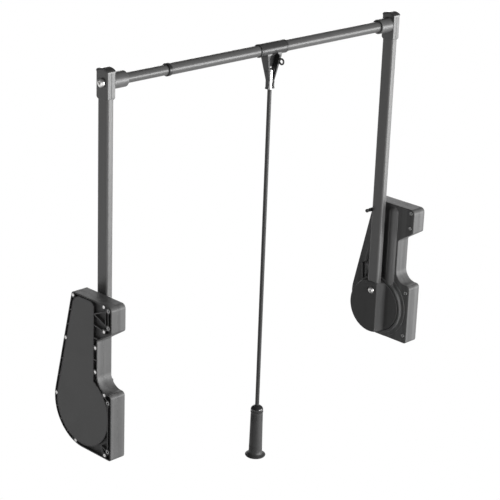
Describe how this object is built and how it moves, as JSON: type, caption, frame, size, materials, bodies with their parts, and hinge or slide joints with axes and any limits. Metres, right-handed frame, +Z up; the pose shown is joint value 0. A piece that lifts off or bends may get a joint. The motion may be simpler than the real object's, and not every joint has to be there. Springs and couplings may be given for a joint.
{
  "type": "pull-down closet rod",
  "caption": "Pull-down wardrobe lift: two wall casings with spring-balanced swing arms carry a telescopic hanging rail, which a hinged pull rod with a grip brings down to the user.",
  "frame": {"origin": "the pivot axis of the arms where it meets the left casing's wall face", "axes": "+X along the rail from the left wall to the right wall, +Y away from the user, +Z up"},
  "size_m": [1, 0.185, 1.0245],
  "materials": {
    "casing_outer": "moulded black plastic, fine texture",
    "casing_inner": "moulded black plastic, fine texture",
    "cover_plate": "dark grey powder coat",
    "screw_steel": "bright zinc plated",
    "sleeve_steel": "bright zinc plated",
    "stop_steel": "black steel",
    "buffer_rubber": "black rubber",
    "bush_nylon": "natural nylon",
    "gear_steel": "plain steel",
    "spring_steel": "oiled spring steel",
    "hub_black": "glass filled black plastic",
    "arm_paint": "satin anthracite",
    "connector_black": "satin black plastic",
    "cap_black": "black plastic",
    "rail_paint": "satin anthracite",
    "ring_black": "black plastic",
    "clip_black": "satin black plastic",
    "rod_head_metal": "bright nickel plated",
    "rod_paint": "satin anthracite",
    "grip_black": "soft black grip",
    "grip_cap_black": "black plastic"
  },
  "bodies": {
    "left_casing": {"left_outer_shell": "casing_outer", "left_inner_shell": "casing_inner", "left_cover_plate": "cover_plate", "left_case_screws": "screw_steel", "left_mounting_sleeves": "sleeve_steel", "left_stop_pin": "stop_steel", "left_stop_buffer": "buffer_rubber", "left_pivot_bush": "bush_nylon", "left_end_bearing": "bush_nylon", "left_rack_guide": "bush_nylon", "left_spring_seat": "gear_steel", "left_spring": "spring_steel"},
    "left_arm": {"left_hub": "hub_black", "left_axle": "gear_steel", "left_pinion": "gear_steel", "left_hub_screw": "screw_steel", "left_arm_tube": "arm_paint", "left_connector_outer": "connector_black", "left_connector_inner": "connector_black", "left_connector_cap": "cap_black", "left_connector_screw": "screw_steel", "left_rail_plug": "gear_steel", "small_rail_tube": "rail_paint", "guide_bush": "bush_nylon"},
    "right_arm": {"right_hub": "hub_black", "right_axle": "gear_steel", "right_pinion": "gear_steel", "right_hub_screw": "screw_steel", "right_arm_tube": "arm_paint", "right_connector_outer": "connector_black", "right_connector_inner": "connector_black", "right_connector_cap": "cap_black", "right_connector_screw": "screw_steel", "right_rail_plug": "gear_steel", "large_rail_tube": "rail_paint", "end_ring": "ring_black", "clip": "clip_black", "hinge_pin": "screw_steel"},
    "right_casing": {"right_outer_shell": "casing_outer", "right_inner_shell": "casing_inner", "right_cover_plate": "cover_plate", "right_case_screws": "screw_steel", "right_mounting_sleeves": "sleeve_steel", "right_stop_pin": "stop_steel", "right_stop_buffer": "buffer_rubber", "right_pivot_bush": "bush_nylon", "right_end_bearing": "bush_nylon", "right_rack_guide": "bush_nylon", "right_spring_seat": "gear_steel", "right_spring": "spring_steel"},
    "left_rack": {"left_rack": "gear_steel", "left_draw_nut": "gear_steel"},
    "right_rack": {"right_rack": "gear_steel", "right_draw_nut": "gear_steel"},
    "pull_rod": {"rod_head": "rod_head_metal", "pull_rod": "rod_paint", "grip": "grip_black", "grip_cap": "grip_cap_black"}
  },
  "joints": [
    {"name": "arm_swing", "type": "hinge", "parent": "left_casing", "child": "left_arm", "pos_m": [0.045, 0, 0], "axis": [1, 0, 0], "range_deg": [0, 110], "stiffness_Nm_per_rad": 24, "springref_deg": -20.05},
    {"name": "width_slide", "type": "slide", "parent": "left_arm", "child": "right_arm", "axis": [1, 0, 0], "range_m": [-0.11, 0.14]},
    {"name": "right_swing", "type": "hinge", "parent": "right_arm", "child": "right_casing", "pos_m": [0.955, 0, 0], "axis": [1, 0, 0], "range_deg": [-110, 0]},
    {"name": "left_rack_slide", "type": "slide", "parent": "left_casing", "child": "left_rack", "axis": [0, 0, -1], "range_m": [0, 0.039], "deforming": ["left_spring"]},
    {"name": "right_rack_slide", "type": "slide", "parent": "right_casing", "child": "right_rack", "axis": [0, 0, -1], "range_m": [0, 0.039], "deforming": ["right_spring"]},
    {"name": "rod_swing", "type": "hinge", "parent": "right_arm", "child": "pull_rod", "pos_m": [0.536, 0, 0.6635], "axis": [1, 0, 0], "range_deg": [-115, 15]}
  ],
  "couplings": [
    {"joint": "right_swing", "follows": "arm_swing", "ratio": -1},
    {"joint": "left_rack_slide", "follows": "arm_swing", "m_per_rad": 0.02025},
    {"joint": "right_rack_slide", "follows": "arm_swing", "m_per_rad": 0.02025}
  ]
}
